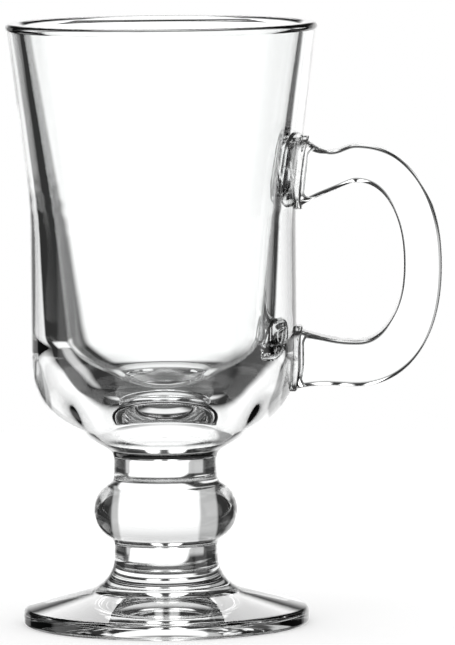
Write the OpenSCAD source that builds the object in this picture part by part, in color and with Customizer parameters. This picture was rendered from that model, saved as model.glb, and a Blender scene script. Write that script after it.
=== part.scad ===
// Irish coffee glass mug: a footed mug of clear pressed glass. A flared round foot carries a solid
// stem with a knop, the stem carries a thick-walled bowl that opens towards a beaded rim, and an
// ear-shaped handle with a flat-faced strap is fused to the side of the bowl.
// The origin is on the axis of the mug, in the plane that its foot stands on. +X points to the
// handle. The glass pieces meet face to face, as hot glass is joined.

/* [Foot] */
// Diameter of the foot at its edge
foot_d = 70; // [66:1:76]
// Height of the foot's upright side, up to the top of the foot
foot_side_h = 3.7; // [3:0.1:4.5]
// Rounding of the side's upper edge
foot_upper_edge_r = 1.5; // [1:0.1:1.8]
// Rounding of the side's lower edge
foot_lower_edge_r = 0.9; // [0.6:0.1:1.1]
// Slope of the top of the foot, in degrees from level
foot_slope = 15; // [11:1:18]
// Radius of the sweep from the top of the foot up into the neck
foot_sweep_r = 9; // [7:0.5:11]
// Height of the straight neck above the sweep
foot_neck_h = 0.5; // [0.3:0.1:2]
// Width of the flat ring that the mug stands on
foot_ring_w = 5; // [4:0.5:7]
// Height of the domed hollow under the foot
foot_hollow_h = 1.8; // [1:0.1:2.4]

/* [Stem] */
// Diameter of the necks below and above the knop
neck_d = 25.2; // [23:0.2:27]
// Diameter of the knop
knop_d = 35; // [32:0.5:39]
// Radius of the knop's round, seen from the side
knop_round_r = 7.5; // [6.5:0.1:8.5]
// Radius of the fillets between the knop and the necks
knop_fillet_r = 2.5; // [1.5:0.1:3.5]
// Height of the straight neck below the knop
low_neck_h = 2; // [1:0.1:4]
// Height of the straight neck above the knop
high_neck_h = 2.6; // [1:0.1:5]

/* [Bowl] */
// Height of the bowl, from its joint with the stem to the top of the rim
bowl_h = 108; // [102:1:116]
// Diameter of the rim, over its bead
rim_d = 76; // [73:0.2:80]
// Diameter of the straight body of the bowl
body_d = 64.8; // [62:0.2:67]
// Height of the straight neck under the bowl, up to the fillet
bowl_neck_h = 1.5; // [1:0.1:2]
// Slope of the underside of the bowl, in degrees from level
underside_slope = 31; // [28:1:34]
// Radius of the fillet between the stem and the underside
underside_fillet_r = 3; // [2:0.5:4]
// Radius of the shoulder between the underside and the body
shoulder_r = 18; // [16:0.5:20]
// Height of the waist above the joint, where the wall starts to lean outwards
waist_h = 64.5; // [60:0.5:70]
// Radius of the bend at the waist
waist_r = 100; // [60:5:140]
// Radius of the bead round the rim
bead_r = 1; // [0.9:0.05:1.3]
// How far the bead stands out from the wall
bead_proud = 0.3; // [0.2:0.05:0.6]

/* [Cavity] */
// Thickness of the wall at the rim, over the bead
rim_wall_t = 4; // [3.6:0.1:5]
// Thickness of the wall at the waist
waist_wall_t = 5; // [4:0.1:6]
// Thickness of the wall at the corner of the cavity
low_wall_t = 9.3; // [8.8:0.1:10]
// Radius inside the lip
lip_r = 1.6; // [1:0.1:2]
// Radius of the bend of the inner wall at the waist
inner_waist_r = 200; // [100:10:300]
// Height of the middle of the cavity's floor above the joint
floor_h = 16.4; // [15:0.2:18]
// Diameter of the floor, measured to its edge before rounding
floor_d = 24.5; // [22:0.5:27]
// How far the edge of the floor lies above its middle
dish_h = 0.3; // [0.2:0.1:0.6]
// Diameter of the level middle of the floor, before rounding
dish_d = 14; // [12:0.5:16]
// Radius of the dished floor about its middle
dish_r = 30; // [20:5:40]
// Height of the corner of the cavity above the edge of the floor
corner_h = 4.4; // [4:0.1:6]
// Radius of the corner between the wall and the sloping bottom
corner_r = 18; // [15:0.5:19]
// Radius between the sloping bottom and the floor
floor_fillet_r = 3.7; // [3:0.1:6]

/* [Handle] */
// Distance from the axis of the mug to the outermost point of the handle
handle_reach = 67.8; // [64:0.2:72]
// Height of the underside of the handle above the bowl's joint
handle_low_h = 19; // [17:0.5:22]
// Height of the handle, from its underside to its top
handle_h = 59.1; // [54:0.1:64]
// Length of the arms between the body and the start of the ear's curve
arm_l = 14.4; // [12:0.2:17]
// Power of the ear's curve: at 2 it is half an ellipse, and above 2 it is squarer
ear_power = 2.2; // [2:0.05:2.5]
// Width of the strap across its flat face, along the top and the ear
strap_w = 9.3; // [8:0.1:10.5]
// Width of the strap across its flat face, along the lower arm
low_strap_w = 11.2; // [9.5:0.1:12.5]
// Thickness of the strap between its two flat faces
strap_t = 11.5; // [10:0.5:13]
// Radius of the strap's rounded edges
strap_edge_r = 2.2; // [1.6:0.1:3]
// How far the upper arm dips on its way to the wall
upper_dip = 2.2; // [1:0.1:2.8]
// Power that moves the dip out towards the ear: at 1 it is spread evenly along the arm
dip_power = 2.5; // [1:0.1:3]
// How far the lower arm rises on its way to the wall
lower_rise = 1.2; // [0.6:0.1:2]
// Length of the flare at the end of each arm
flare_l = 11.5; // [9:0.5:13]
// How much wider the upper flare is at the wall than the strap
upper_flare_w = 8.6; // [6:0.2:9]
// How much wider the lower flare is at the wall than the strap
lower_flare_w = 3.8; // [2:0.2:5]
// How much thicker both flares are at the wall than the strap
flare_t = 3; // [1:0.5:4]
// Thickness of the pads that join the handle to the wall
pad_t = 1.6; // [1.2:0.1:2]
// Height of the upper pad
upper_pad_h = 18; // [17:0.5:20]
// Height of the lower pad
lower_pad_h = 16; // [15:0.5:18]
// Breadth of both pads across the handle
pad_w = 17; // [15.5:0.5:19]
// Radius of the pads' corners
pad_corner_r = 6; // [4:0.5:7]

/* [Smoothness] */
// Turn of each step along a round profile, in degrees
arc_step = 6; // [4:1:10]
// Number of steps along the ear of the handle
ear_steps = 36; // [24:2:48]
// Number of steps along each arm of the handle
arm_steps = 10; // [6:1:14]
// Number of steps round each edge of the strap
edge_steps = 5; // [3:1:6]

/* [Hidden] */

glass_colour = [0.88, 0.91, 0.92, 0.55];
$fn = 96;

foot_r = foot_d / 2;
neck_r = neck_d / 2;
knop_max_r = knop_d / 2;
rim_r = rim_d / 2;
body_r = body_d / 2;

// The top of the foot is a line that leaves the upright side at its slope and meets the sweep to
// the neck.
sweep_end_r = neck_r + foot_sweep_r * (1 - sin(foot_slope));
sweep_end_z = foot_side_h + (foot_r - sweep_end_r) * tan(foot_slope);
sweep_z = sweep_end_z + foot_sweep_r * cos(foot_slope);
stem_z = sweep_z + foot_neck_h;
hollow_r = foot_r - foot_lower_edge_r - foot_ring_w;

// The knop is an arc between two fillets that touch both it and the necks.
knop_centre_r = knop_max_r - knop_round_r;
fillet_centre_r = neck_r + knop_fillet_r;
knop_half_h = sqrt(pow(knop_round_r + knop_fillet_r, 2) - pow(fillet_centre_r - knop_centre_r, 2));
knop_turn = atan2(knop_half_h, fillet_centre_r - knop_centre_r);
knop_z = stem_z + low_neck_h + knop_half_h;
bowl_z = knop_z + knop_half_h + high_neck_h;

// Outside of the bowl: the corners that its fillets round.
rim_z = bowl_z + bowl_h;
underside_z = bowl_z + bowl_neck_h + underside_fillet_r * tan((90 - underside_slope) / 2);
shoulder_corner_z = underside_z + (body_r - neck_r) * tan(underside_slope);
waist_z = bowl_z + waist_h;
bead_centre = [rim_r - bead_r, rim_z - bead_r];
wall_top = [rim_r - bead_proud, bead_centre.y];
wall_lean = atan2(wall_top.x - body_r, wall_top.y - waist_z);
wall_down = [-sin(wall_lean), -cos(wall_lean)];
wall_in_bead = wall_top.x - bead_centre.x;
bead_reach = wall_in_bead * sin(wall_lean)
    + sqrt(pow(bead_r, 2) - pow(wall_in_bead * cos(wall_lean), 2));
bead_foot = wall_top + bead_reach * wall_down;

// Inside of the bowl.
floor_z = bowl_z + floor_h;
dish_z = floor_z + dish_h;

// Centre line of the handle: an upper arm, the ear and a lower arm, in the plane y = 0.
handle_z = bowl_z + handle_low_h;
ear_x = body_r + arm_l;
ear_reach = handle_reach - strap_w / 2 - ear_x;
ear_top_z = handle_z + handle_h - strap_w / 2;
ear_low_z = handle_z + low_strap_w / 2;
ear_mid_z = (ear_top_z + ear_low_z) / 2;
ear_half_h = (ear_top_z - ear_low_z) / 2;
upper_root_z = ear_top_z - upper_dip;
lower_root_z = ear_low_z + lower_rise;
// How deep the arms run into the bowl before its outside trims them
bury_l = low_wall_t / 2;
arm_start_x = body_r - bury_l;

// Small step for the direction of the centre line, in stations
station_step = 0.001;

function polar(centre, radius, angle) = centre + radius * [cos(angle), sin(angle)];
function unit(v) = v / norm(v);
function turn_between(from, to) = (to - from + 540) % 360 - 180;
function smooth(share) = let (s = min(1, max(0, share))) s * s * (3 - 2 * s);

// Points of an arc, ends included
function arc(centre, radius, from, to) =
    let (steps = max(1, ceil(abs(to - from) / arc_step)))
    [for (i = [0:steps]) polar(centre, radius, from + (to - from) * i / steps)];

// The corner b of the path a, b, c rounded to a radius, as an arc that touches both of its sides
function rounded_corner(a, b, c, radius) =
    let (
        back = unit(a - b),
        ahead = unit(c - b),
        half = acos(back * ahead) / 2,
        centre = b + unit(back + ahead) * radius / sin(half),
        start = b + back * radius / tan(half) - centre,
        end = b + ahead * radius / tan(half) - centre,
        from = atan2(start.y, start.x)
    )
    arc(centre, radius, from, from + turn_between(from, atan2(end.y, end.x)));

// A path of corners [r, z, radius], each rounded to its own radius, with sharp ends
function rounded_path(corners) =
    let (last = len(corners) - 1, at = function(i) [corners[i].x, corners[i].y])
    [for (i = [0:last])
        each (i == 0 || i == last)
            ? [at(i)]
            : rounded_corner(at(i - 1), at(i), at(i + 1), corners[i].z)];

// A path moved sideways by a distance, to the right of its direction
function moved_path(path, distance) =
    let (last = len(path) - 1)
    [for (i = [0:last])
        let (
            before = unit(path[max(i, 1)] - path[max(i, 1) - 1]),
            after = unit(path[min(i, last - 1) + 1] - path[min(i, last - 1)]),
            side = unit([before.y + after.y, -before.x - after.x])
        )
        path[i] + side * distance / sqrt((1 + before * after) / 2)];

// Outside of the bowl from its joint with the stem up to the bead
function bowl_outline() = rounded_path([
    [neck_r, bowl_z],
    [neck_r, underside_z, underside_fillet_r],
    [body_r, shoulder_corner_z, shoulder_r],
    [body_r, waist_z, waist_r],
    bead_foot,
]);

// Inside of the bowl from the crest of the bead down to the middle of the floor
function cavity_outline() = rounded_path([
    [bead_centre.x, rim_z],
    [rim_r - rim_wall_t, rim_z, lip_r],
    [body_r - waist_wall_t, waist_z, inner_waist_r],
    [body_r - low_wall_t, dish_z + corner_h, corner_r],
    [floor_d / 2, dish_z, floor_fillet_r],
    [dish_d / 2, floor_z, dish_r],
    [0, floor_z],
]);

// A solid of revolution about the axis of the mug
module turned(path) {
    rotate_extrude() polygon(path);
}

// The bowl without its cavity, and with a skin of the given thickness added to its outside
module bowl_body(skin = 0) {
    path = moved_path(bowl_outline(), skin);
    turned(concat([[0, path[0].y]], path, [[0, path[len(path) - 1].y]]));
}

module foot() {
    hollow_sphere_r = (pow(hollow_r, 2) + pow(foot_hollow_h, 2)) / (2 * foot_hollow_h);
    hollow_edge = asin(hollow_r / hollow_sphere_r);
    hollow_centre = [0, foot_hollow_h - hollow_sphere_r];
    hollow_steps = ceil(hollow_edge / arc_step) * 4;
    color(glass_colour) turned(concat(
        [for (i = [0:hollow_steps])
            polar(hollow_centre, hollow_sphere_r, 90 - hollow_edge * i / hollow_steps)],
        rounded_corner([hollow_r, 0], [foot_r, 0], [foot_r, foot_side_h], foot_lower_edge_r),
        rounded_corner(
            [foot_r, 0], [foot_r, foot_side_h], [sweep_end_r, sweep_end_z], foot_upper_edge_r
        ),
        arc([neck_r + foot_sweep_r, sweep_z], foot_sweep_r, 270 - foot_slope, 180),
        [[neck_r, stem_z], [0, stem_z]]
    ));
}

module stem() {
    color(glass_colour) turned(concat(
        [[0, stem_z], [neck_r, stem_z]],
        arc([fillet_centre_r, knop_z - knop_half_h], knop_fillet_r, 180, 180 - knop_turn),
        arc([knop_centre_r, knop_z], knop_round_r, -knop_turn, knop_turn),
        arc([fillet_centre_r, knop_z + knop_half_h], knop_fillet_r, 180 + knop_turn, 180),
        [[neck_r, bowl_z], [0, bowl_z]]
    ));
}

module bowl() {
    bead_from = atan2(bead_foot.y - bead_centre.y, bead_foot.x - bead_centre.x);
    color(glass_colour) turned(concat(
        [[0, bowl_z]],
        bowl_outline(),
        arc(bead_centre, bead_r, bead_from, 90),
        cavity_outline()
    ));
}

// A sine or cosine raised to the power that the ear's curve has, with its sign kept
function eased(part) = sign(part) * pow(abs(part), 2 / ear_power);

// How far along its free length an arm is, from 0 at the wall to 1 at the ear
function out_share(along) = max(0, (along * (arm_l + bury_l) - bury_l) / arm_l);

// Centre line of the handle by station: 0 to 1 is the upper arm from the wall outwards, 1 to 2 the
// ear from its top to its underside, and 2 to 3 the lower arm back to the wall
function centre_line(station) =
    station < 1
        ? [
            arm_start_x + (ear_x - arm_start_x) * station,
            upper_root_z + upper_dip * smooth(pow(out_share(station), dip_power)),
        ]
        : station < 2
            ? [
                ear_x + ear_reach * eased(sin(180 * (station - 1))),
                ear_mid_z + ear_half_h * eased(cos(180 * (station - 1))),
            ]
            : [
                arm_start_x + (ear_x - arm_start_x) * (3 - station),
                lower_root_z - lower_rise * smooth(out_share(3 - station)),
            ];

// How much of the flare a station has, from 0 where the strap is plain to 1 at the wall
function flare_share(station) =
    station > 1 && station < 2
        ? 0
        : pow(min(1, max(0, 1 - (centre_line(station).x - body_r) / flare_l)), 2);

function strap_width(station) =
    strap_w
        + (low_strap_w - strap_w) * smooth(2 * station - 3)
        + (station < 2 ? upper_flare_w : lower_flare_w) * flare_share(station);

function strap_thickness(station) = strap_t + flare_t * flare_share(station);

// The section of the strap: a rectangle of the given width and thickness with rounded edges
function strap_section(width, thickness) =
    [for (quarter = [0:3], i = [0:edge_steps])
        let (
            across = (quarter == 0 || quarter == 3) ? 1 : -1,
            along = quarter < 2 ? 1 : -1,
            middle = [
                across * (width / 2 - strap_edge_r),
                along * (thickness / 2 - strap_edge_r),
            ]
        )
        polar(middle, strap_edge_r, 90 * (quarter + i / edge_steps))];

// One ring of the strap, square to the centre line
function strap_ring(station) =
    let (
        middle = centre_line(station),
        ahead = unit(centre_line(station + station_step) - centre_line(station - station_step))
    )
    [for (p = strap_section(strap_width(station), strap_thickness(station)))
        [middle.x - ahead.y * p.x, p.y, middle.y + ahead.x * p.x]];

// The strap as one skin through all of its rings
module strap() {
    stations = concat(
        [for (i = [0:arm_steps - 1]) i / arm_steps],
        [for (i = [0:ear_steps]) 1 + i / ear_steps],
        [for (i = [1:arm_steps]) 2 + i / arm_steps]
    );
    sides = 4 * (edge_steps + 1);
    last = len(stations) - 1;
    points = [for (station = stations) each strap_ring(station)];
    skin = [for (ring = [0:last - 1], side = [0:sides - 1])
        let (
            a = ring * sides + side,
            b = ring * sides + (side + 1) % sides,
            c = b + sides,
            d = a + sides
        )
        each [[a, b, c], [a, c, d]]];
    near_end = [for (side = [sides - 1:-1:0]) side];
    far_end = [for (side = [0:sides - 1]) last * sides + side];
    polyhedron(points, concat(skin, [near_end, far_end]));
}

// A pad on the wall: a skin of the bowl's outside, within a rounded outline seen from the handle
module root_pad(height_of_middle, pad_h) {
    intersection() {
        bowl_body(pad_t);
        translate([0, 0, height_of_middle]) rotate([90, 0, 90])
            linear_extrude(height = handle_reach) rounded_rectangle(pad_w, pad_h, pad_corner_r);
    }
}

module rounded_rectangle(width, height, radius) {
    square([width - 2 * radius, height], center = true);
    square([width, height - 2 * radius], center = true);
    for (x = [-1, 1], y = [-1, 1])
        translate([x * (width / 2 - radius), y * (height / 2 - radius)]) circle(r = radius);
}

module handle() {
    color(glass_colour) difference() {
        union() {
            strap();
            root_pad(upper_root_z, upper_pad_h);
            root_pad(lower_root_z, lower_pad_h);
        }
        bowl_body();
    }
}

foot();
stem();
bowl();
handle();
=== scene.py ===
"""An irish coffee glass mug of clear pressed glass, on a pale floor in a white studio.

Foot, stem and bowl are turned as one skin, because hot glass fuses without a seam, and the handle
is lofted onto the wall of the bowl. Sizes are those of the real mug, in metres, in the frame of
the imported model. Angles are in degrees.
"""

import logging
import math
from collections.abc import Callable, Iterable, Sequence
from dataclasses import dataclass, field
from enum import Enum
from typing import Any, Union

import bmesh
import bpy
import numpy as np
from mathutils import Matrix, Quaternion, Vector


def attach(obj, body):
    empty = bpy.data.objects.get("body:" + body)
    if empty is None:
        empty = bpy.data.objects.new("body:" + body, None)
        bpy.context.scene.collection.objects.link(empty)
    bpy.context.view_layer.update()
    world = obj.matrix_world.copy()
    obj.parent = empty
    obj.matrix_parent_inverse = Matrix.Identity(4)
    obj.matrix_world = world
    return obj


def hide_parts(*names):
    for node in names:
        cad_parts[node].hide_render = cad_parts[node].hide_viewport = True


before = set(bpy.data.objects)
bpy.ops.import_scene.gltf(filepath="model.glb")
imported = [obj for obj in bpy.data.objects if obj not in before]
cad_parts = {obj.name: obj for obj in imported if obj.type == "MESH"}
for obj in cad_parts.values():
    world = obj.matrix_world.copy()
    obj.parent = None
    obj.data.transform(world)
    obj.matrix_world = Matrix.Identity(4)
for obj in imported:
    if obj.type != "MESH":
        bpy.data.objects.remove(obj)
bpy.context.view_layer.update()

LOG = logging.getLogger("mug")
MM = 0.001
# Height of the photograph in pixels
PHOTO_H = 645
# Points nearer than this are one point
TOUCHING = 0.001 * MM
# Radius of the neck, which foot, stem and bowl share at their joints
NECK_R = 12.6 * MM

Point = np.ndarray
Path = list[np.ndarray]


class Slot(Enum):
    """The material slots of a piece."""

    GLASS = 0
    SEAM = 1


class Root(Enum):
    """The two places where the handle is fused to the bowl."""

    UPPER = "upper"
    LOWER = "lower"


def polar(centre: Sequence[float], radius: float, degrees: float) -> Point:
    """The point at a distance and an angle from a centre, in the plane of an outline."""
    turn = math.radians(degrees)
    return np.array(centre) + radius * np.array([math.cos(turn), math.sin(turn)])


def unit(vector: np.ndarray) -> np.ndarray:
    """A vector of the same direction and of length 1."""
    return vector / np.linalg.norm(vector)


def smooth(share: float) -> float:
    """A share from 0 to 1 eased at both of its ends."""
    held = min(1.0, max(0.0, share))
    return held * held * (3 - 2 * held)


def arc(
    centre: Sequence[float], radius: float, start: float, end: float, step: float = 2.5
) -> Path:
    """The points of an arc, ends included.

    Args:
        centre: Centre of the arc.
        radius: Radius of the arc.
        start: Angle of its first point, in degrees.
        end: Angle of its last point, in degrees.
        step: Largest turn between two points, in degrees.

    Returns:
        The points in order.
    """
    steps = max(1, math.ceil(abs(end - start) / step))
    return [polar(centre, radius, start + (end - start) * i / steps) for i in range(steps + 1)]


def rounded_corner(before: Point, corner: Point, after: Point, radius: float) -> Path:
    """The arc that rounds a corner and touches both of its sides.

    Args:
        before: The corner before this one.
        corner: The corner to round.
        after: The corner after this one.
        radius: Radius of the arc.

    Returns:
        The points of the arc.
    """
    back, ahead = unit(before - corner), unit(after - corner)
    half = math.acos(float(np.clip(back @ ahead, -1, 1))) / 2
    centre = corner + unit(back + ahead) * radius / math.sin(half)
    first = corner + back * radius / math.tan(half) - centre
    last = corner + ahead * radius / math.tan(half) - centre
    start = math.degrees(math.atan2(first[1], first[0]))
    turn = (math.degrees(math.atan2(last[1], last[0])) - start + 540) % 360 - 180
    return arc(centre, radius, start, start + turn)


def rounded_path(corners: Sequence[tuple[float, float, float]]) -> Path:
    """A path through corners that are rounded, with sharp ends.

    Args:
        corners: The corners as (r, z, radius). The two ends have no use for a radius.

    Returns:
        The points of the path.
    """
    places = [np.array(c[:2]) for c in corners]
    path = [places[0]]
    for i in range(1, len(corners) - 1):
        path += rounded_corner(places[i - 1], places[i], places[i + 1], corners[i][2])
    return path + [places[-1]]


def filled_path(path: Path, spacing: float) -> Path:
    """The same path with points added on its long straight stretches.

    Args:
        path: The points of the path.
        spacing: Longest stretch that stays without a point.

    Returns:
        The path with the added points.
    """
    filled = [path[0]]
    for a, b in zip(path, path[1:]):
        steps = max(1, math.ceil(float(np.linalg.norm(b - a)) / spacing))
        filled += [a + (b - a) * i / steps for i in range(1, steps + 1)]
    return filled


class Number:
    """A number socket of a node tree, whose arithmetic adds Math nodes to the tree."""

    def __init__(self, wiring: "Wiring", socket: bpy.types.NodeSocket) -> None:
        """Wraps a socket of the tree that the wiring belongs to."""
        self.wiring = wiring
        self.socket = socket

    def worked(self, operation: str, *others: Union["Number", float], first: bool = True) -> "Number":
        """The result of a Math node.

        Args:
            operation: The Math node's operation.
            others: The other operands.
            first: Whether this number is the first operand.

        Returns:
            The result as a number.
        """
        operands = [self, *others] if first else [*others, self]
        made = self.wiring.add("ShaderNodeMath", {"operation": operation}, dict(enumerate(operands)))
        return Number(self.wiring, made.outputs[0])

    def __add__(self, other: Union["Number", float]) -> "Number":
        """The sum."""
        return self.worked("ADD", other)

    __radd__ = __add__

    def __sub__(self, other: Union["Number", float]) -> "Number":
        """The difference."""
        return self.worked("SUBTRACT", other)

    def __rsub__(self, other: float) -> "Number":
        """The difference from a plain number."""
        return self.worked("SUBTRACT", other, first=False)

    def __mul__(self, other: Union["Number", float]) -> "Number":
        """The product."""
        return self.worked("MULTIPLY", other)

    __rmul__ = __mul__

    def __truediv__(self, other: Union["Number", float]) -> "Number":
        """The quotient."""
        return self.worked("DIVIDE", other)

    def larger(self, other: Union["Number", float]) -> "Number":
        """The larger of two numbers."""
        return self.worked("MAXIMUM", other)

    def smaller(self, other: Union["Number", float]) -> "Number":
        """The smaller of two numbers."""
        return self.worked("MINIMUM", other)

    def ramp(self, low: float, high: float) -> "Number":
        """How far this number has come from one level to another, eased at both of them.

        Args:
            low: Level at which the result is 0.
            high: Level at which the result is 1, which may be the smaller of the two.

        Returns:
            The result, held between 0 and 1.
        """
        made = self.wiring.add(
            "ShaderNodeMapRange",
            {"interpolation_type": "SMOOTHSTEP"},
            {"Value": self, "From Min": low, "From Max": high},
        )
        return Number(self.wiring, made.outputs[0])


class Wiring:
    """Adds nodes to a tree and links them."""

    def __init__(self, tree: bpy.types.NodeTree) -> None:
        """Takes hold of a tree and empties it."""
        self.tree = tree
        tree.nodes.clear()

    def add(
        self,
        kind: str,
        settings: dict[str, Any] | None = None,
        inputs: dict[Union[str, int], Any] | None = None,
    ) -> bpy.types.Node:
        """Adds a node.

        Args:
            kind: The node's type.
            settings: Properties of the node, set before its sockets.
            inputs: Values or links of its sockets, by name or number.

        Returns:
            The node.
        """
        made = self.tree.nodes.new(kind)
        for name, value in (settings or {}).items():
            setattr(made, name, value)
        for name, value in (inputs or {}).items():
            socket = made.inputs[name]
            if isinstance(value, Number):
                self.tree.links.new(value.socket, socket)
            elif isinstance(value, bpy.types.NodeSocket):
                self.tree.links.new(value, socket)
            else:
                socket.default_value = value
        return made

    def number(self, node: bpy.types.Node, output: Union[str, int] = 0) -> Number:
        """An output of a node as a number."""
        return Number(self, node.outputs[output])


def add_object(name: str, data: bpy.types.ID) -> bpy.types.Object:
    """Adds an object to the scene.

    Args:
        name: Name of the object.
        data: Its mesh or camera.

    Returns:
        The object, at the origin.
    """
    made = bpy.data.objects.new(name, data)
    bpy.context.scene.collection.objects.link(made)
    return made


def add_material(name: str) -> tuple[bpy.types.Material, Wiring]:
    """Adds a material that has no nodes yet.

    Args:
        name: Name of the material.

    Returns:
        The material and the wiring of its tree.
    """
    material = bpy.data.materials.new(name)
    material.use_nodes = True
    return material, Wiring(material.node_tree)


def turned_by_glass(wiring: Wiring) -> Number:
    """1 for a ray that the glass has reflected or bent, and 0 for any other."""
    paths = wiring.add("ShaderNodeLightPath")
    return wiring.number(paths, "Is Glossy Ray").larger(wiring.number(paths, "Is Transmission Ray"))


@dataclass(frozen=True)
class Noise:
    """Soft noise in object coordinates.

    Attributes:
        scale: Number of its waves to a metre.
        detail: Number of finer layers on it.
        roughness: Strength of each finer layer beside the one before.
    """

    scale: float
    detail: float
    roughness: float

    def add(self, wiring: Wiring) -> Number:
        """Adds the noise to a tree.

        Args:
            wiring: The wiring of the tree.

        Returns:
            The noise, between 0 and 1.
        """
        place = wiring.add("ShaderNodeTexCoord").outputs["Object"]
        made = wiring.add(
            "ShaderNodeTexNoise",
            None,
            {"Vector": place, "Scale": self.scale, "Detail": self.detail, "Roughness": self.roughness},
        )
        return wiring.number(made)


@dataclass(frozen=True)
class ClearGlass:
    """Fire-polished soda-lime glass, with the faint ripple of a pressed surface.

    Attributes:
        haze: Roughness of the smears. Between them the glass is quite smooth.
        smear_levels: Levels of the smears' noise at which the haze starts and is full.
    """

    name: str = "clear_glass"
    tint: tuple[float, float, float, float] = (0.985, 0.992, 0.99, 1.0)
    ior: float = 1.52
    ripple: Noise = Noise(46.0, 1.0, 0.4)
    ripple_depth: float = 0.06 * MM
    smears: Noise = Noise(210.0, 3.0, 0.6)
    smear_levels: tuple[float, float] = (0.55, 0.8)
    haze: float = 0.006

    def make(self) -> bpy.types.Material:
        """Makes the material.

        Returns:
            The material, rippled and smeared by noise.
        """
        material, wiring = add_material(self.name)
        bump = wiring.add(
            "ShaderNodeBump",
            None,
            {"Strength": 1.0, "Distance": self.ripple_depth, "Height": self.ripple.add(wiring)},
        )
        shader = wiring.add(
            "ShaderNodeBsdfPrincipled",
            None,
            {
                "Base Color": self.tint,
                "Roughness": self.haze * self.smears.add(wiring).ramp(*self.smear_levels),
                "IOR": self.ior,
                "Transmission Weight": 1.0,
                "Normal": bump.outputs[0],
            },
        )
        wiring.add("ShaderNodeOutputMaterial", None, {"Surface": shader.outputs[0]})
        return material


@dataclass(frozen=True)
class FusedSeam:
    """The seat of two pieces joined hot, where light goes on through the glass unbent."""

    name: str = "fused_seam"

    def make(self) -> bpy.types.Material:
        """Makes the material.

        Returns:
            The material, a skin that isn't there.
        """
        material, wiring = add_material(self.name)
        shader = wiring.add(
            "ShaderNodeBsdfPrincipled", None, {"Alpha": 0.0, "Roughness": 0.0, "IOR": 1.0}
        )
        wiring.add("ShaderNodeOutputMaterial", None, {"Surface": shader.outputs[0]})
        return material


@dataclass
class Finishes:
    """The materials that the pieces share."""

    glass: bpy.types.Material
    seam: bpy.types.Material

    def put_on(self, mesh: bpy.types.Mesh) -> None:
        """Gives a mesh the two materials, each in its slot.

        Args:
            mesh: The mesh.
        """
        mesh.materials.clear()
        mesh.materials.append(self.glass)
        mesh.materials.append(self.seam)


class TurnedTree:
    """Geometry nodes that turn an outline about the Z axis into a closed skin.

    The outline is a row of vertices at (r, 0, z), in order.
    """

    def __init__(self) -> None:
        """Builds the tree with its named inputs."""
        self.tree = bpy.data.node_groups.new("turned_glass", "GeometryNodeTree")
        face = self.tree.interface
        face.new_socket("Outline", in_out="INPUT", socket_type="NodeSocketGeometry")
        self.sockets = {
            name: face.new_socket(name, in_out="INPUT", socket_type=kind).identifier
            for name, kind in (("Segments", "NodeSocketInt"), ("Glass", "NodeSocketMaterial"))
        }
        face.new_socket("Skin", in_out="OUTPUT", socket_type="NodeSocketGeometry")
        self.wire()

    def wire(self) -> None:
        """Lays a grid of one column for each segment and one row for each point, and bends it."""
        wiring = Wiring(self.tree)
        given = wiring.add("NodeGroupInput")
        outline = given.outputs["Outline"]
        rows = wiring.number(
            wiring.add("GeometryNodeAttributeDomainSize", {"component": "MESH"}, {"Geometry": outline})
        )
        segments = wiring.number(given, "Segments")
        grid = wiring.add("GeometryNodeMeshGrid", None, {"Vertices X": segments + 1, "Vertices Y": rows})
        index = wiring.number(wiring.add("GeometryNodeInputIndex"))
        turn = (index / rows).worked("FLOOR") * math.tau / segments
        place = wiring.add("GeometryNodeInputPosition")
        sample = wiring.add(
            "GeometryNodeSampleIndex",
            {"data_type": "FLOAT_VECTOR", "domain": "POINT"},
            {"Geometry": outline, "Value": place.outputs[0], "Index": index.worked("MODULO", rows)},
        )
        parts = wiring.add("ShaderNodeSeparateXYZ", None, {0: sample.outputs[0]})
        radius, height = wiring.number(parts, 0), wiring.number(parts, 2)
        bent = wiring.add(
            "ShaderNodeCombineXYZ",
            None,
            {0: radius * turn.worked("COSINE"), 1: radius * turn.worked("SINE"), 2: height},
        )
        placed = wiring.add(
            "GeometryNodeSetPosition",
            None,
            {"Geometry": grid.outputs["Mesh"], "Position": bent.outputs[0]},
        )
        merged = wiring.add(
            "GeometryNodeMergeByDistance",
            None,
            {"Geometry": placed.outputs[0], "Distance": TOUCHING},
        )
        real = wiring.add("GeometryNodeRealizeInstances", None, {"Geometry": merged.outputs[0]})
        skin = wiring.add(
            "GeometryNodeSetMaterial",
            None,
            {"Geometry": real.outputs[0], "Material": given.outputs["Glass"]},
        )
        wiring.add("NodeGroupOutput", None, {0: skin.outputs[0]})

    def turn(self, outline: Path, segments: int, glass: bpy.types.Material) -> bmesh.types.BMesh:
        """Turns an outline.

        Args:
            outline: Points (r, z) from the axis round to the axis.
            segments: Number of segments about the axis.
            glass: The material of the skin.

        Returns:
            The closed skin as working geometry.
        """
        mesh = bpy.data.meshes.new("outline")
        points = [(p[0], 0.0, p[1]) for p in outline]
        mesh.from_pydata(points, [(i, i + 1) for i in range(len(points) - 1)], [])
        holder = add_object("outline", mesh)
        modifier = holder.modifiers.new("turned", "NODES")
        modifier.node_group = self.tree
        modifier[self.sockets["Segments"]] = segments
        modifier[self.sockets["Glass"]] = glass
        graph = bpy.context.evaluated_depsgraph_get()
        skin = bpy.data.meshes.new_from_object(holder.evaluated_get(graph))
        bm = bmesh.new()
        bm.from_mesh(skin)
        for face in bm.faces:
            face.material_index = Slot.GLASS.value
        bpy.data.objects.remove(holder)
        bpy.data.meshes.remove(mesh)
        bpy.data.meshes.remove(skin)
        return bm


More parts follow.
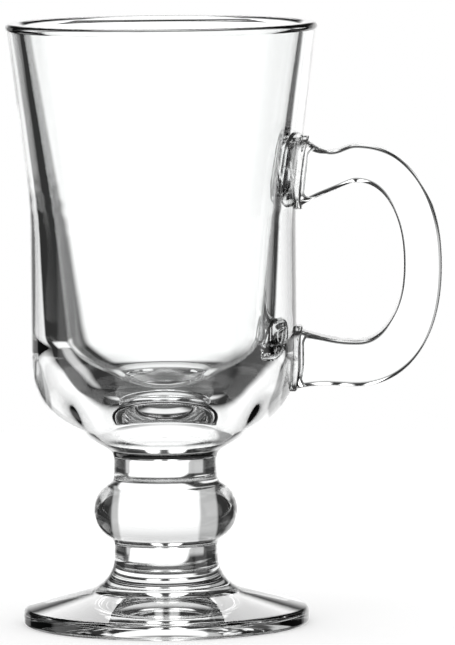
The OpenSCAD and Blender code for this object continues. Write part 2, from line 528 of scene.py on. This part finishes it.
def join_rings(
    bm: bmesh.types.BMesh,
    outer: list[bmesh.types.BMVert],
    inner: list[bmesh.types.BMVert],
    slot: Slot = Slot.GLASS,
) -> None:
    """Joins two rings of equally many vertices with a band of faces.

    Args:
        bm: The working geometry.
        outer: The vertices of the first ring, in order.
        inner: The vertices of the second ring, in step with the first.
        slot: The material slot of the faces.
    """
    for a, b, c, d in zip(outer, outer[1:] + outer[:1], inner[1:] + inner[:1], inner):
        bm.faces.new((a, b, c, d)).material_index = slot.value


def finish_mesh(name: str, bm: bmesh.types.BMesh, sharp_degrees: float = 32.0) -> bpy.types.Mesh:
    """Turns working geometry into a mesh with outward faces and smooth shading.

    Args:
        name: Name of the mesh.
        bm: The working geometry, which is freed.
        sharp_degrees: Edges that turn more than this stay sharp.

    Returns:
        The mesh.
    """
    bmesh.ops.recalc_face_normals(bm, faces=bm.faces)
    for face in bm.faces:
        face.smooth = True
    mesh = bpy.data.meshes.new(name)
    bm.to_mesh(mesh)
    bm.free()
    mesh.set_sharp_from_angle(angle=math.radians(sharp_degrees))
    return mesh


def place_piece(
    name: str, solids: Iterable[str], mesh: bpy.types.Mesh, finishes: Finishes
) -> bpy.types.Object:
    """Adds a finished piece that stands for some of the solids.

    Args:
        name: Name of the piece.
        solids: Names of the solids that it stands for.
        mesh: The finished mesh, in the frame of the mug.
        finishes: The glass and the seam.

    Returns:
        The object.
    """
    finishes.put_on(mesh)
    piece = add_object(name + "_glass", mesh)
    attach(piece, "root")
    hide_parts(*solids)
    LOG.info("%s: %d faces", piece.name, len(mesh.polygons))
    return piece


@dataclass
class Foot:
    """The flared foot: a disc with an upright side that sweeps up into the neck.

    Attributes:
        hollow_step: Turn between two points of the domed hollow.
        row_h: Longest stretch of the outline without a point.
    """

    diameter: float = 70 * MM
    side_h: float = 3.7 * MM
    upper_edge_r: float = 1.5 * MM
    lower_edge_r: float = 0.9 * MM
    slope: float = 15.0
    sweep_r: float = 9 * MM
    neck_h: float = 0.5 * MM
    ring_w: float = 5 * MM
    hollow_h: float = 1.8 * MM
    hollow_step: float = 0.2
    neck_r: float = NECK_R
    row_h: float = 1 * MM

    @property
    def sweep_end(self) -> Point:
        """Where the sloping top of the foot meets the sweep."""
        slope = math.radians(self.slope)
        end_r = self.neck_r + self.sweep_r * (1 - math.sin(slope))
        return np.array([end_r, self.side_h + (self.diameter / 2 - end_r) * math.tan(slope)])

    @property
    def sweep_z(self) -> float:
        """Height of the centre of the sweep."""
        return float(self.sweep_end[1]) + self.sweep_r * math.cos(math.radians(self.slope))

    @property
    def top_z(self) -> float:
        """Height of the joint with the stem."""
        return self.sweep_z + self.neck_h

    def outline(self) -> Path:
        """Draws the foot.

        Returns:
            The outline from the middle of the hollow round to the joint with the stem.
        """
        radius = self.diameter / 2
        hollow_r = radius - self.lower_edge_r - self.ring_w
        ball_r = (hollow_r**2 + self.hollow_h**2) / (2 * self.hollow_h)
        ball_turn = math.degrees(math.asin(hollow_r / ball_r))
        hollow = arc((0, self.hollow_h - ball_r), ball_r, 90, 90 - ball_turn, self.hollow_step)
        low, high = np.array([radius, 0]), np.array([radius, self.side_h])
        edge = rounded_corner(np.array([hollow_r, 0]), low, high, self.lower_edge_r)
        edge += rounded_corner(low, high, self.sweep_end, self.upper_edge_r)
        sweep = arc(
            (self.neck_r + self.sweep_r, self.sweep_z), self.sweep_r, 270 - self.slope, 180
        )
        joint = np.array([self.neck_r, self.top_z])
        return filled_path(hollow + edge + sweep + [joint], self.row_h)


@dataclass
class Stem:
    """The short solid stem: two necks and the knop between them.

    Attributes:
        low_z: Height of the joint with the foot.
        row_h: Longest stretch of the outline without a point.
    """

    low_z: float
    neck_r: float = NECK_R
    knop_d: float = 35 * MM
    round_r: float = 7.5 * MM
    fillet_r: float = 2.5 * MM
    low_neck_h: float = 2 * MM
    high_neck_h: float = 2.6 * MM
    row_h: float = 0.8 * MM

    @property
    def knop_half_h(self) -> float:
        """Half the height of the knop with its fillets."""
        apart = self.neck_r + self.fillet_r - (self.knop_d / 2 - self.round_r)
        return math.sqrt((self.round_r + self.fillet_r) ** 2 - apart**2)

    @property
    def top_z(self) -> float:
        """Height of the joint with the bowl."""
        return self.low_z + self.low_neck_h + 2 * self.knop_half_h + self.high_neck_h

    def outline(self) -> Path:
        """Draws the stem.

        Returns:
            The outline from the lower joint up to the upper one.
        """
        half = self.knop_half_h
        fillet_centre_r = self.neck_r + self.fillet_r
        knop_centre_r = self.knop_d / 2 - self.round_r
        turn = math.degrees(math.atan2(half, fillet_centre_r - knop_centre_r))
        knop_z = self.low_z + self.low_neck_h + half
        path = [np.array([self.neck_r, self.low_z])]
        path += arc((fillet_centre_r, knop_z - half), self.fillet_r, 180, 180 - turn)
        path += arc((knop_centre_r, knop_z), self.round_r, -turn, turn)
        path += arc((fillet_centre_r, knop_z + half), self.fillet_r, 180 + turn, 180)
        return filled_path(path + [np.array([self.neck_r, self.top_z])], self.row_h)


def rounded_rectangle(width: float, height: float, radius: float, count: int) -> np.ndarray:
    """Points of a rectangle with rounded corners, evenly spaced in each quarter.

    Args:
        width: Size along the first axis.
        height: Size along the second axis.
        radius: Radius of the corners.
        count: Number of points, a multiple of four.

    Returns:
        The points, from the middle of the first axis's far side, counter-clockwise.
    """
    quarter = count // 4
    up, over, bend = height / 2 - radius, width / 2 - radius, radius * math.pi / 2
    whole = up + bend + over

    def place(along: float) -> tuple[float, float]:
        """A point of the first quarter, by its way from the middle of the first axis's side."""
        if along < up:
            return width / 2, along
        if along < up + bend:
            turn = (along - up) / radius
            return over + radius * math.cos(turn), up + radius * math.sin(turn)
        return over - (along - up - bend), height / 2

    first = [place(whole * i / quarter) for i in range(quarter)]
    back = [place(whole * (quarter - i) / quarter) for i in range(quarter)]
    top = np.array(first + [(-x, y) for x, y in back])
    return np.concatenate([top, -top])


def seen_from_handle(ring: Iterable[bmesh.types.BMVert], middle_z: float) -> np.ndarray:
    """Where vertices lie across and up from the middle of a pad."""
    return np.array([(v.co.y, v.co.z - middle_z) for v in ring])


@dataclass
class Bowl:
    """The bowl: a thick wall round a cavity, a solid base, and the seats of the handle's pads.

    Attributes:
        low_z: Height of the joint with the stem.
        bead_step: Turn between two points of the bead.
        row_h: Longest stretch of the outline without a point.
        patch_margin: How far the faces round a pad's seat are laid anew.
        patch_rings: Number of bands of faces between the old faces and the seat.
        seat_rings: Number of bands of faces from the seat's outline to its middle.
        skin_t: Vertices nearer to the outside than this belong to it.
    """

    low_z: float
    neck_r: float = NECK_R
    height: float = 108 * MM
    rim_d: float = 76 * MM
    body_r: float = 32.4 * MM
    neck_h: float = 1.5 * MM
    underside_slope: float = 31.0
    underside_fillet_r: float = 3 * MM
    shoulder_r: float = 18 * MM
    waist_h: float = 64.5 * MM
    waist_r: float = 100 * MM
    bead_r: float = 1 * MM
    bead_proud: float = 0.3 * MM
    bead_step: float = 9.0
    rim_wall_t: float = 4 * MM
    waist_wall_t: float = 5 * MM
    low_wall_t: float = 9.3 * MM
    lip_r: float = 1.6 * MM
    inner_waist_r: float = 200 * MM
    floor_h: float = 16.4 * MM
    floor_d: float = 24.5 * MM
    dish_h: float = 0.3 * MM
    dish_d: float = 14 * MM
    dish_r: float = 30 * MM
    corner_h: float = 4.4 * MM
    corner_r: float = 18 * MM
    floor_fillet_r: float = 3.7 * MM
    row_h: float = 0.8 * MM
    patch_margin: float = 3.5 * MM
    patch_rings: int = 6
    seat_rings: int = 10
    skin_t: float = 0.05 * MM

    @property
    def rim_z(self) -> float:
        """Height of the top of the rim."""
        return self.low_z + self.height

    @property
    def bead_centre(self) -> Point:
        """Centre of the bead's round section."""
        return np.array([self.rim_d / 2 - self.bead_r, self.rim_z - self.bead_r])

    def wall(self) -> Path:
        """Draws the outside.

        Returns:
            The outline from the joint with the stem up to the foot of the bead.
        """
        slope = math.radians(self.underside_slope)
        fillet_h = self.underside_fillet_r * math.tan((math.pi / 2 - slope) / 2)
        underside_z = self.low_z + self.neck_h + fillet_h
        shoulder_z = underside_z + (self.body_r - self.neck_r) * math.tan(slope)
        waist_z = self.low_z + self.waist_h
        bead = self.bead_centre
        top = np.array([self.rim_d / 2 - self.bead_proud, bead[1]])
        lean = math.atan2(top[0] - self.body_r, top[1] - waist_z)
        inside = top[0] - bead[0]
        reach = inside * math.sin(lean) + math.sqrt(
            self.bead_r**2 - (inside * math.cos(lean)) ** 2
        )
        foot = top - reach * np.array([math.sin(lean), math.cos(lean)])
        return filled_path(
            rounded_path([
                (self.neck_r, self.low_z, 0),
                (self.neck_r, underside_z, self.underside_fillet_r),
                (self.body_r, shoulder_z, self.shoulder_r),
                (self.body_r, waist_z, self.waist_r),
                (foot[0], foot[1], 0),
            ]),
            self.row_h,
        )

    def cavity(self) -> Path:
        """Draws the inside.

        Returns:
            The outline from the crest of the bead down to the middle of the floor.
        """
        floor_z = self.low_z + self.floor_h
        dish_z = floor_z + self.dish_h
        return filled_path(
            rounded_path([
                (self.rim_d / 2 - self.bead_r, self.rim_z, 0),
                (self.rim_d / 2 - self.rim_wall_t, self.rim_z, self.lip_r),
                (self.body_r - self.waist_wall_t, self.low_z + self.waist_h, self.inner_waist_r),
                (self.body_r - self.low_wall_t, dish_z + self.corner_h, self.corner_r),
                (self.floor_d / 2, dish_z, self.floor_fillet_r),
                (self.dish_d / 2, floor_z, self.dish_r),
                (0, floor_z, 0),
            ]),
            self.row_h,
        )

    def outline(self) -> Path:
        """Draws the bowl.

        Returns:
            The outline from the joint with the stem round to the middle of the floor.
        """
        wall, bead = self.wall(), self.bead_centre
        start = math.degrees(math.atan2(wall[-1][1] - bead[1], wall[-1][0] - bead[0]))
        return wall + arc(bead, self.bead_r, start, 90, self.bead_step)[1:] + self.cavity()[1:]

    def wall_radius(self) -> Callable[[np.ndarray], np.ndarray]:
        """The radius of the outside as a function of height."""
        wall = np.array(self.wall())
        return lambda z: np.interp(z, wall[:, 1], wall[:, 0])

    def on_wall(self, across: np.ndarray, height: np.ndarray) -> np.ndarray:
        """How far from the plane x = 0 the outside lies, at places seen from the handle."""
        return np.sqrt(self.wall_radius()(height) ** 2 - across**2)

    def open_patch(
        self, bm: bmesh.types.BMesh, middle_z: float, reach_y: float, reach_z: float
    ) -> list[bmesh.types.BMVert]:
        """Opens a gap in the outside, where a seat will be.

        Args:
            bm: The turned glass.
            middle_z: Height of the middle of the seat.
            reach_y: How far the gap reaches to each side of it.
            reach_z: How far the gap reaches above and below it.

        Returns:
            The vertices round the gap, in order.
        """
        skin = self.wall_radius()
        turn = math.asin(reach_y / self.body_r)

        def inside(v: bmesh.types.BMVert) -> bool:
            """Whether a vertex is one of the outside that lies in the patch."""
            x, y, z = v.co
            return (
                x > 0
                and abs(math.atan2(y, x)) <= turn
                and abs(z - middle_z) <= reach_z
                and math.hypot(x, y) > float(skin(z)) - self.skin_t
            )

        held = {v for v in bm.verts if inside(v)}
        faces = [f for f in bm.faces if all(v in held for v in f.verts)]
        bmesh.ops.delete(bm, geom=faces, context="FACES")
        edges = [e for e in bm.edges if e.is_boundary and abs(e.verts[0].co.z - middle_z) <= reach_z]
        edge = edges[0]
        start, at = edge.verts
        loop = [start]
        while at != start:
            loop.append(at)
            edge = next(e for e in at.link_edges if e in edges and e != edge)
            at = edge.other_vert(at)
        return loop

    def cut_seat(self, bm: bmesh.types.BMesh, middle_z: float, pad: "Pad") -> None:
        """Cuts the outline of a pad into the outside, and marks the faces inside it as a seam.

        Args:
            bm: The turned glass.
            middle_z: Height of the middle of the pad.
            pad: The pad that is fused there.
        """
        reach_y, reach_z = pad.width / 2 + self.patch_margin, pad.height / 2 + self.patch_margin
        ring = self.open_patch(bm, middle_z, reach_y, reach_z)
        places = seen_from_handle(ring, middle_z)
        outline = pad.outline_at(np.arctan2(places[:, 1], places[:, 0]))
        for step in range(1, self.patch_rings + 1):
            inner_places = places + (outline - places) * step / self.patch_rings
            inner = self.ring(bm, inner_places, middle_z)
            join_rings(bm, ring, inner)
            ring = inner
        self.fill_seat(bm, ring, middle_z)

    def fill_seat(
        self, bm: bmesh.types.BMesh, ring: list[bmesh.types.BMVert], middle_z: float
    ) -> None:
        """Fills the outline of a seat with faces that lie on the outside, marked as a seam.

        Args:
            bm: The turned glass or the handle.
            ring: The vertices of the outline, in order.
            middle_z: Height of the middle of the seat.
        """
        outline = seen_from_handle(ring, middle_z)
        for step in range(1, self.seat_rings):
            inner = self.ring(bm, outline * (1 - step / self.seat_rings), middle_z)
            join_rings(bm, ring, inner, Slot.SEAM)
            ring = inner
        centre = self.ring(bm, np.zeros((1, 2)), middle_z)[0]
        for a, b in zip(ring, ring[1:] + ring[:1]):
            bm.faces.new((a, b, centre)).material_index = Slot.SEAM.value

    def ring(
        self, bm: bmesh.types.BMesh, places: np.ndarray, middle_z: float
    ) -> list[bmesh.types.BMVert]:
        """New vertices on the outside, at places seen from the handle."""
        y, z = places[:, 0], places[:, 1] + middle_z
        return [bm.verts.new(p) for p in zip(self.on_wall(y, z), y, z)]


@dataclass(frozen=True)
class Pad:
    """A pad with which the handle is fused to the wall, seen from the handle.

    Attributes:
        outline_points: Number of points that its outline is measured from.
    """

    height: float
    width: float = 17 * MM
    corner_r: float = 6 * MM
    thickness: float = 1.6 * MM
    edge_r: float = 0.5 * MM
    outline_points: int = 2048

    def outline_at(self, turns: np.ndarray) -> np.ndarray:
        """Finds points of the outline by their directions from its middle.

        Args:
            turns: The directions, in radians.

        Returns:
            The points, across and up.
        """
        fine = rounded_rectangle(self.width, self.height, self.corner_r, self.outline_points)
        fine_turns = np.unwrap(np.arctan2(fine[:, 1], fine[:, 0]))
        wanted = np.mod(turns - fine_turns[0], math.tau) + fine_turns[0]
        closed = np.concatenate([fine, fine[:1]])
        turned = np.concatenate([fine_turns, [fine_turns[0] + math.tau]])
        return np.stack([np.interp(wanted, turned, closed[:, k]) for k in (0, 1)], axis=1)


@dataclass
class Handle:
    """The ear-shaped handle: a flat-faced strap that flares into a pad at each end.

    Attributes:
        bowl: The bowl that the handle is fused to.
        reach: Distance from the axis of the mug to the far side of the ear.
        low_h: Height of the ear's lowest point above the bowl's joint.
        height: Height of the ear.
        ear_power: Power of the ear's rounded outline, 2 for an ellipse.
        dip_power: How near to the ear the upper arm's dip ends.
        sides: Number of points of a ring, a multiple of four.
        edge_rings: Number of bands of faces round a pad's rounded edge.
    """

    bowl: Bowl
    reach: float = 67.8 * MM
    low_h: float = 19 * MM
    height: float = 59.1 * MM
    arm_l: float = 14.4 * MM
    ear_power: float = 2.2
    strap_w: float = 9.3 * MM
    low_strap_w: float = 11.2 * MM
    strap_t: float = 11.5 * MM
    edge_r: float = 2.2 * MM
    upper_dip: float = 2.2 * MM
    dip_power: float = 2.5
    lower_rise: float = 1.2 * MM
    flare_l: float = 11.5 * MM
    upper_flare_w: float = 8.6 * MM
    lower_flare_w: float = 3.8 * MM
    flare_t: float = 3 * MM
    sides: int = 96
    ear_rings: int = 96
    arm_rings: int = 26
    edge_rings: int = 6
    pads: dict[Root, Pad] = field(
        default_factory=lambda: {Root.UPPER: Pad(18 * MM), Root.LOWER: Pad(16 * MM)}
    )

    @property
    def ear_x(self) -> float:
        """Distance from the axis at which the arms turn into the ear."""
        return self.bowl.body_r + self.arm_l

    @property
    def top_z(self) -> float:
        """Height of the centre line at the top of the ear."""
        return self.bowl.low_z + self.low_h + self.height - self.strap_w / 2

    @property
    def bottom_z(self) -> float:
        """Height of the centre line at the bottom of the ear."""
        return self.bowl.low_z + self.low_h + self.low_strap_w / 2

    def root_z(self, root: Root) -> float:
        """Finds the height of the middle of a pad.

        Args:
            root: Which pad.

        Returns:
            The height.
        """
        if root is Root.UPPER:
            return self.top_z - self.upper_dip
        return self.bottom_z + self.lower_rise

    def arm_ring(self, root: Root, out: float, pad_share: float = 0.0) -> np.ndarray:
        """A ring of one arm.

        Args:
            root: Which arm.
            out: Distance of the ring from the wall.
            pad_share: 0 for the strap, 1 for the outline of the pad.

        Returns:
            The ring's points.
        """
        upper = root is Root.UPPER
        ease = smooth((out / self.arm_l) ** (self.dip_power if upper else 1.0))
        middle_z = self.root_z(root) + (self.upper_dip if upper else -self.lower_rise) * ease
        flare = min(1.0, max(0.0, 1 - out / self.flare_l)) ** 2
        width = (
            self.strap_w + self.upper_flare_w * flare
            if upper
            else self.low_strap_w + self.lower_flare_w * flare
        )
        strap = rounded_rectangle(self.strap_t + self.flare_t * flare, width, self.edge_r, self.sides)
        pad = self.pads[root]
        plate = rounded_rectangle(pad.width, pad.height, pad.corner_r, self.sides)
        places = strap + (plate - strap) * pad_share
        y, z = places[:, 0], places[:, 1] + middle_z
        follow = 1 - smooth(out / self.flare_l)
        x = self.bowl.body_r + out + (self.bowl.on_wall(y, z) - self.bowl.body_r) * follow
        return np.stack([x, y, z], axis=1)

    def pad_rings(self, root: Root) -> list[np.ndarray]:
        """Makes the rings of a pad.

        Args:
            root: Which pad.

        Returns:
            The rings from the seat on the wall up to where the strap leaves the pad.
        """
        pad = self.pads[root]
        rings = [self.arm_ring(root, 0.0, 1.0), self.arm_ring(root, pad.thickness / 2, 1.0)]
        for step in range(self.edge_rings + 1):
            turn = math.radians(90 * step / self.edge_rings)
            out = pad.thickness - pad.edge_r * (1 - math.sin(turn))
            shrink = 1 - 2 * pad.edge_r * (1 - math.cos(turn)) / max(pad.width, pad.height)
            flat = self.arm_ring(root, out, 1.0)[:, 1:]
            middle = flat.mean(axis=0)
            y, z = (middle + (flat - middle) * shrink).T
            rings.append(np.stack([self.bowl.on_wall(y, z) + out, y, z], axis=1))
        return rings

    def ear_ring(self, turn: float) -> np.ndarray:
        """Makes a ring of the ear.

        Args:
            turn: How far round the ear the ring is, from 0 at its top to 180 at its bottom.

        Returns:
            The ring's points.
        """
        across = self.reach - self.strap_w / 2 - self.ear_x
        middle_z, half_h = (self.top_z + self.bottom_z) / 2, (self.top_z - self.bottom_z) / 2
        out, up = math.sin(math.radians(turn)), math.cos(math.radians(turn))
        power = 2 / self.ear_power
        side = math.copysign(abs(up) ** power, up)
        middle = np.array([self.ear_x + across * abs(out) ** power, middle_z + half_h * side])
        run = math.copysign(abs(up) ** (2 - power), up)
        ahead = unit(np.array([across * run, -half_h * abs(out) ** (2 - power)]))
        width = self.strap_w + (self.low_strap_w - self.strap_w) * smooth(turn / 90 - 1)
        section = rounded_rectangle(self.strap_t, width, self.edge_r, self.sides)
        x = middle[0] - ahead[1] * section[:, 1]
        z = middle[1] + ahead[0] * section[:, 1]
        return np.stack([x, section[:, 0], z], axis=1)

    def rings(self) -> list[np.ndarray]:
        """Makes all rings of the handle.

        Returns:
            The rings from the upper seat round the ear to the lower seat.
        """
        start = self.pads[Root.UPPER].thickness
        outs = [start + (self.arm_l - start) * i / self.arm_rings for i in range(self.arm_rings)]
        upper = self.pad_rings(Root.UPPER) + [self.arm_ring(Root.UPPER, out) for out in outs]
        lower = self.pad_rings(Root.LOWER) + [self.arm_ring(Root.LOWER, out) for out in outs]
        ear = [self.ear_ring(180 * i / self.ear_rings) for i in range(self.ear_rings + 1)]
        # The lower arm runs back to the wall, so its rings are taken the other way round
        other_way = np.concatenate([[0], np.arange(self.sides - 1, 0, -1)])
        return upper + ear + [ring[other_way] for ring in reversed(lower)]

    def build(self, finishes: Finishes) -> bpy.types.Object:
        """Lofts the handle, closes it with its two seats and places it.

        Args:
            finishes: The glass and the seam.

        Returns:
            The object.
        """
        bm = bmesh.new()
        rings = [[bm.verts.new(p) for p in ring] for ring in self.rings()]
        for ring, following in zip(rings, rings[1:]):
            join_rings(bm, ring, following)
        self.bowl.fill_seat(bm, rings[0], self.root_z(Root.UPPER))
        self.bowl.fill_seat(bm, rings[-1], self.root_z(Root.LOWER))
        return place_piece("handle", ("handle",), finish_mesh("handle_glass", bm), finishes)


@dataclass
class Body:
    """The turned glass: foot, stem and bowl, joined hot into one skin.

    Attributes:
        segments: Number of segments about the axis.
    """

    foot: Foot
    stem: Stem
    bowl: Bowl
    segments: int = 152

    def outline(self) -> Path:
        """Draws the three pieces as one.

        Returns:
            Their outlines one after the other, without doubled points.
        """
        path: Path = []
        for name, piece in (("foot", self.foot), ("stem", self.stem), ("bowl", self.bowl)):
            outline = piece.outline()
            LOG.info("%s: outline of %d points", name, len(outline))
            path += [p for p in outline if not path or np.linalg.norm(p - path[-1]) > TOUCHING]
        return path

    def build(
        self, tree: TurnedTree, finishes: Finishes, seats: dict[float, Pad]
    ) -> bpy.types.Object:
        """Turns the glass, cuts in the seats of the handle's pads and places it.

        Args:
            tree: The tree that turns an outline.
            finishes: The glass and the seam.
            seats: The pads by the height of their middle.

        Returns:
            The object.
        """
        bm = tree.turn(self.outline(), self.segments, finishes.glass)
        for middle_z, pad in seats.items():
            self.bowl.cut_seat(bm, middle_z, pad)
        return place_piece("body", ("foot", "stem", "bowl"), finish_mesh("body_glass", bm), finishes)


@dataclass(frozen=True)
class Card:
    """A lit card round the mug, as a patch of directions with soft edges.

    Attributes:
        heading: Direction of the card: 0 is +Y, behind the mug, 90 is -X and -90 is +X.
        to_right: How far it reaches to the right of its heading.
        to_left: How far it reaches to the left.
        low: Elevation of its lower edge.
        high: Elevation of its upper edge.
        level: Its brightness.
        soft: Half the breadth of the soft left and right edges.
        soft_rise: Half the breadth of the soft lower and upper edges.
        slant: How far it shifts to the right for each degree below the horizon.
    """

    heading: float
    to_right: float
    to_left: float
    low: float
    high: float
    level: float
    soft: float = 5.0
    soft_rise: float = 5.0
    slant: float = 0.0

    def lit(self, across: Number, along: Number, rise: Number) -> Number:
        """How brightly the card lights a direction.

        Args:
            across: Part of the direction along +X.
            along: Part of the direction along +Y.
            rise: Elevation of the direction, in degrees.

        Returns:
            The level of light.
        """
        turn = math.radians(self.heading)
        facing = along * math.cos(turn) - across * math.sin(turn)
        aside = across * -math.cos(turn) - along * math.sin(turn)
        beside = aside.worked("ARCTAN2", facing) * math.degrees(1) - rise.smaller(0.0) * self.slant
        return (
            beside.ramp(-self.to_right - self.soft, -self.to_right + self.soft)
            * beside.ramp(self.to_left + self.soft, self.to_left - self.soft)
            * rise.ramp(self.low - self.soft_rise, self.low + self.soft_rise)
            * rise.ramp(self.high + self.soft_rise, self.high - self.soft_rise)
            * self.level
        )


@dataclass(frozen=True)
class Studio:
    """The light round the mug: white for the camera, cards and dark gaps for the glass.

    Attributes:
        cards: The cards, with their sizes in the order of Card's fields. Where two overlap, the
            brighter one counts.
        gap: Level of the gaps between the cards.
        white: Level that the camera and the floor see all round.
    """

    cards: tuple[Card, ...] = (
        # The bright window behind the mug, and its dimmer sides
        Card(0, 32, 22, -27, 11, 1.25, 3, 6, 0.3),
        Card(0, 39, 37, -10, 11, 0.55, 2, 3),
        # Two narrow strips above the window, for the top of the foot
        Card(6, 3.2, 4.5, 17, 40, 3.5, 1.8, 4),
        Card(-5.2, 3.5, 2.4, 17, 40, 3.5, 1.8, 4),
        # The ceiling, the low card behind the mug and the faint ground
        Card(0, 40, 40, 46, 80, 0.8, 12, 6),
        Card(0, 18, 18, -58, -43, 1.0, 6, 3),
        Card(0, 180, 180, -95, -60, 0.14, 6, 3),
        # The handle's side
        Card(-93, 18, 16, -9, 33, 1.05, 4, 4),
        Card(-60, 10, 12, -27, -12, 0.45, 5, 4),
        # The other side
        Card(60, 14, 12, 14, 34, 0.6, 5, 5),
        Card(90, 14, 14, -28, 30, 1.1, 4, 5),
        # Backdrops of the views from the corners and from behind
        Card(45, 15, 15, -32, -21.5, 1.15, 4, 2),
        Card(45, 9, 9, -46, -30, 0.65, 5, 3),
        Card(-135, 15, 15, -34, 30, 1.1, 6, 6),
        Card(180, 22, 22, -34, 14, 0.95, 8, 6),
    )
    gap: float = 0.035
    white: float = 1.0

    def make(self) -> None:
        """Makes the world."""
        world = bpy.data.worlds.new("studio")
        world.use_nodes = True
        bpy.context.scene.world = world
        wiring = Wiring(world.node_tree)
        direction = wiring.add("ShaderNodeTexCoord").outputs["Generated"]
        parts = wiring.add("ShaderNodeSeparateXYZ", None, {0: direction})
        x, y, z = (wiring.number(parts, i) for i in range(3))
        rise = z.worked("ARCSINE") * math.degrees(1)
        levels = [card.lit(x, y, rise) for card in self.cards]
        glass = levels[0].larger(self.gap)
        for level in levels[1:]:
            glass = glass.larger(level)
        turned = turned_by_glass(wiring)
        strength = turned * glass + (1 - turned) * self.white
        light = wiring.add(
            "ShaderNodeBackground", None, {"Color": (1.0, 1.0, 1.0, 1.0), "Strength": strength}
        )
        wiring.add("ShaderNodeOutputWorld", None, {"Surface": light.outputs[0]})


@dataclass(frozen=True)
class Floor:
    """The pale floor, which looks white outside the mug's shadow and which the glass doesn't see.

    Attributes:
        paleness: Share of the light that it gives back.
        glow: Light of its own, which fills it up to white.
        sides: Number of sides of its round edge.
    """

    radius: float = 0.45
    paleness: float = 0.86
    glow: float = 0.25
    sides: int = 96

    def build(self) -> bpy.types.Object:
        """Makes the floor.

        Returns:
            The object.
        """
        bm = bmesh.new()
        bmesh.ops.create_circle(bm, cap_ends=True, radius=self.radius, segments=self.sides)
        mesh = bpy.data.meshes.new("floor")
        bm.to_mesh(mesh)
        bm.free()
        material, wiring = add_material("pale_floor")
        matt = wiring.add("ShaderNodeBsdfDiffuse", None, {"Color": (self.paleness,) * 3 + (1.0,)})
        glow = wiring.add("ShaderNodeEmission", None, {"Strength": self.glow})
        both = wiring.add("ShaderNodeAddShader", None, {0: matt.outputs[0], 1: glow.outputs[0]})
        clear = wiring.add("ShaderNodeBsdfTransparent")
        mixed = wiring.add(
            "ShaderNodeMixShader",
            None,
            {0: turned_by_glass(wiring), 1: both.outputs[0], 2: clear.outputs[0]},
        )
        wiring.add("ShaderNodeOutputMaterial", None, {"Surface": mixed.outputs[0]})
        mesh.materials.append(material)
        floor = add_object("floor", mesh)
        return floor


@dataclass(frozen=True)
class Viewpoint:
    """The camera of the photograph.

    Attributes:
        distance: Distance in front of the axis of the mug.
        height: Height above the floor.
        aim_x: Where it stands and aims, to the right of the axis.
        aim_z: Where it aims, above the floor.
        px_per_mm: Pixels of the photograph to a millimetre at the axis.
        lean: Turn about its own line of sight.
        sensor: Size of the sensor along the longer side of the picture, in millimetres.
        near: Nearest distance that it sees.
        far: Farthest distance that it sees.
    """

    distance: float = 1.76
    height: float = 0.2316
    aim_x: float = 15.5 * MM
    aim_z: float = 73.5 * MM
    px_per_mm: float = 4.1
    lean: float = 0.5
    sensor: float = 36.0
    near: float = 0.01
    far: float = 100.0

    def build(self) -> bpy.types.Object:
        """Makes the camera and makes it the scene's.

        Returns:
            The object.
        """
        data = bpy.data.cameras.new("camera")
        data.sensor_width = self.sensor
        span = math.hypot(self.distance, self.height - self.aim_z)
        data.lens = self.sensor * span / (PHOTO_H / self.px_per_mm * MM)
        data.clip_start, data.clip_end = self.near, self.far
        camera = add_object("camera", data)
        place = Vector((self.aim_x, -self.distance, self.height))
        aim = Vector((self.aim_x, 0.0, self.aim_z))
        camera.location = place
        level = (aim - place).to_track_quat("-Z", "Y")
        lean = Quaternion((0.0, 0.0, 1.0), math.radians(-self.lean))
        camera.rotation_mode = "QUATERNION"
        camera.rotation_quaternion = level @ lean
        bpy.context.scene.camera = camera
        return camera


def main() -> None:
    """Builds the camera, the studio and the pieces of the mug, in that order."""
    logging.basicConfig(level=logging.INFO, format="%(name)s %(message)s")
    bpy.context.scene.view_settings.view_transform = "Standard"
    Viewpoint().build()
    Studio().make()
    Floor().build()
    finishes = Finishes(ClearGlass().make(), FusedSeam().make())
    tree = TurnedTree()
    foot = Foot()
    stem = Stem(foot.top_z)
    bowl = Bowl(stem.top_z)
    handle = Handle(bowl)
    seats = {handle.root_z(root): pad for root, pad in handle.pads.items()}
    Body(foot, stem, bowl).build(tree, finishes, seats)
    handle.build(finishes)


if __name__ == "__main__":
    main()
